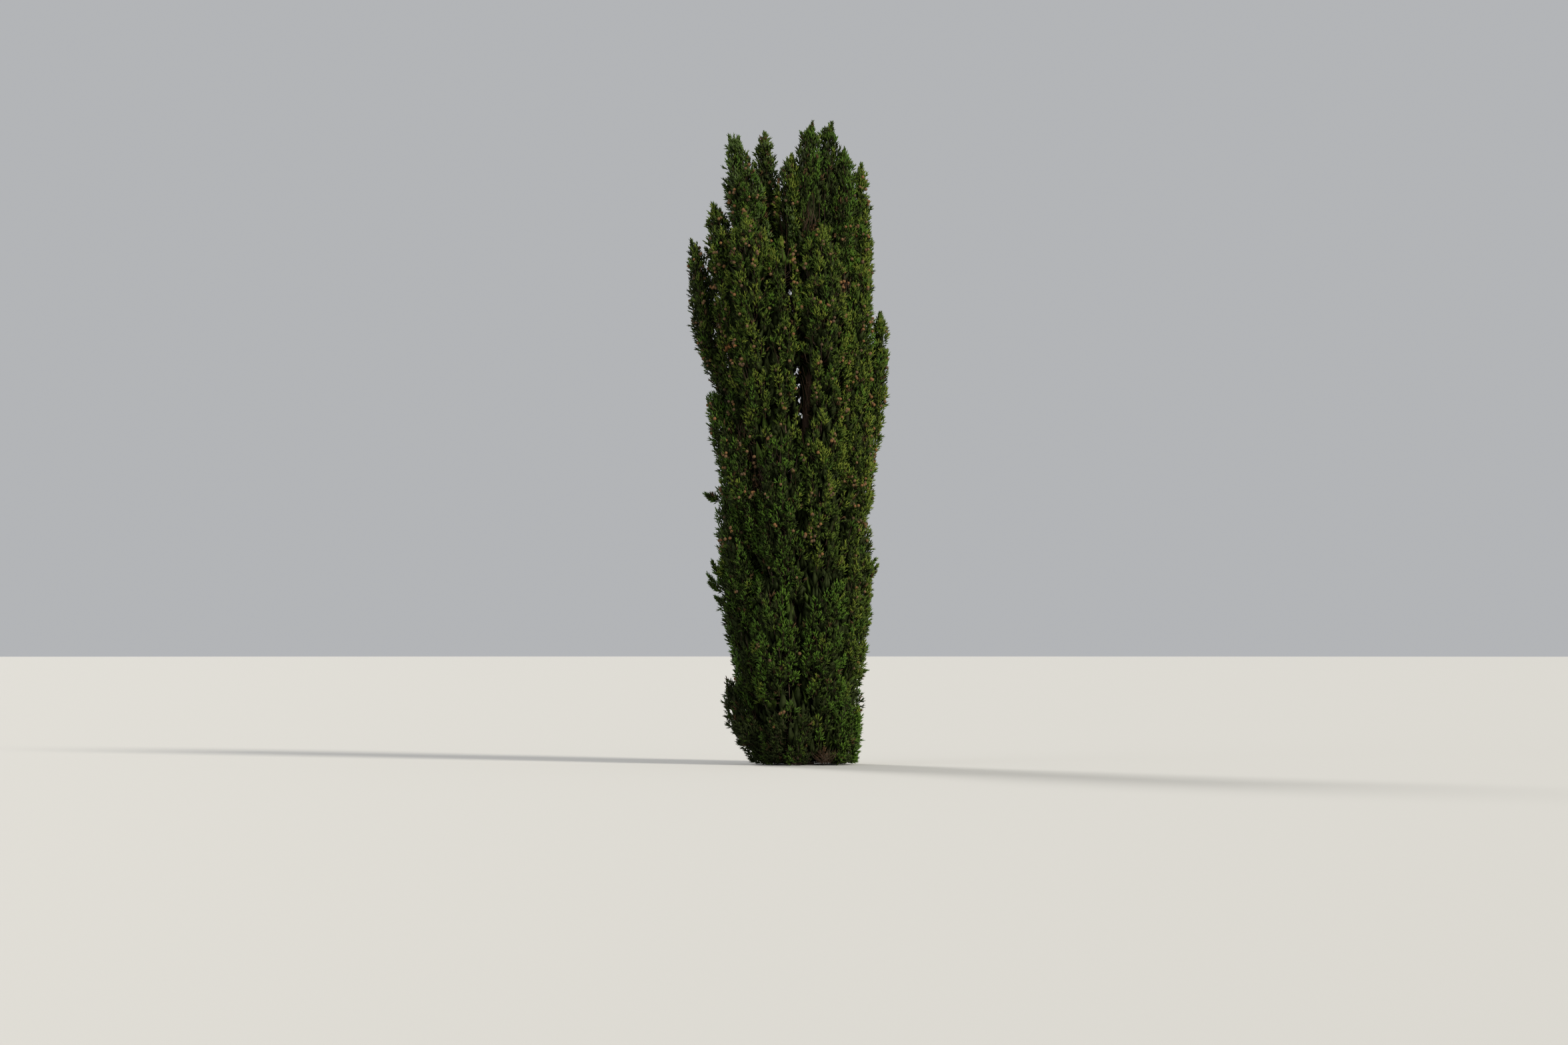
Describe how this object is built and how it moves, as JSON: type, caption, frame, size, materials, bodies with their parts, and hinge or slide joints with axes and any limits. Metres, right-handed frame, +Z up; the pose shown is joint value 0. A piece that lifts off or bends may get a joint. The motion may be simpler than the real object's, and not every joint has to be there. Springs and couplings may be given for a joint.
{
  "type": "pencil cypress tree",
  "caption": "Pencil cypress, a narrow evergreen of upright flame-shaped leaders from one low trunk, leafy to the ground and hung with small round cones.",
  "frame": {"origin": "middle of the flat cut under the trunk, at ground level", "axes": "+Z up the tree, -Y towards the side that the picture shows, +X to the right of the picture"},
  "size_m": [1.9416, 1.2717, 6.205],
  "materials": {
    "bark": "rough, finely ridged",
    "leaves": "matt scale leaves"
  },
  "bodies": {
    "root": {"trunk": "bark", "bough_centre_column": "bark", "bough_centre_tip": "bark", "bough_far_right_leader": "bark", "bough_high_back_left": "bark", "bough_high_back_right": "bark", "bough_left_flank": "bark", "bough_left_front": "bark", "bough_left_leader": "bark", "bough_left_low": "bark", "bough_left_mid": "bark", "bough_left_outlier": "bark", "bough_mid_back_left": "bark", "bough_mid_back_right": "bark", "bough_mid_front_left": "bark", "bough_mid_front_right": "bark", "bough_right_flank": "bark", "bough_right_front": "bark", "bough_right_mid": "bark", "bough_right_outlier": "bark", "bough_right_shoulder": "bark", "bough_right_twin": "bark", "bough_second_leader": "bark", "foliage_centre_column": "leaves", "foliage_centre_tip": "leaves", "foliage_far_right_leader": "leaves", "foliage_foot_front": "leaves", "foliage_foot_left": "leaves", "foliage_foot_right": "leaves", "foliage_high_back_left": "leaves", "foliage_high_back_right": "leaves", "foliage_left_flank": "leaves", "foliage_left_front": "leaves", "foliage_left_leader": "leaves", "foliage_left_low": "leaves", "foliage_left_lower": "leaves", "foliage_left_mid": "leaves", "foliage_left_outlier": "leaves", "foliage_low_back_left": "leaves", "foliage_low_back_right": "leaves", "foliage_low_front_left": "leaves", "foliage_low_front_right": "leaves", "foliage_mid_back_left": "leaves", "foliage_mid_back_right": "leaves", "foliage_mid_front_left": "leaves", "foliage_mid_front_right": "leaves", "foliage_right_flank": "leaves", "foliage_right_front": "leaves", "foliage_right_leader": "leaves", "foliage_right_low": "leaves", "foliage_right_mid": "leaves", "foliage_right_outlier": "leaves", "foliage_right_shoulder": "leaves", "foliage_right_twin": "leaves", "foliage_second_leader": "leaves"}
  },
  "joints": []
}
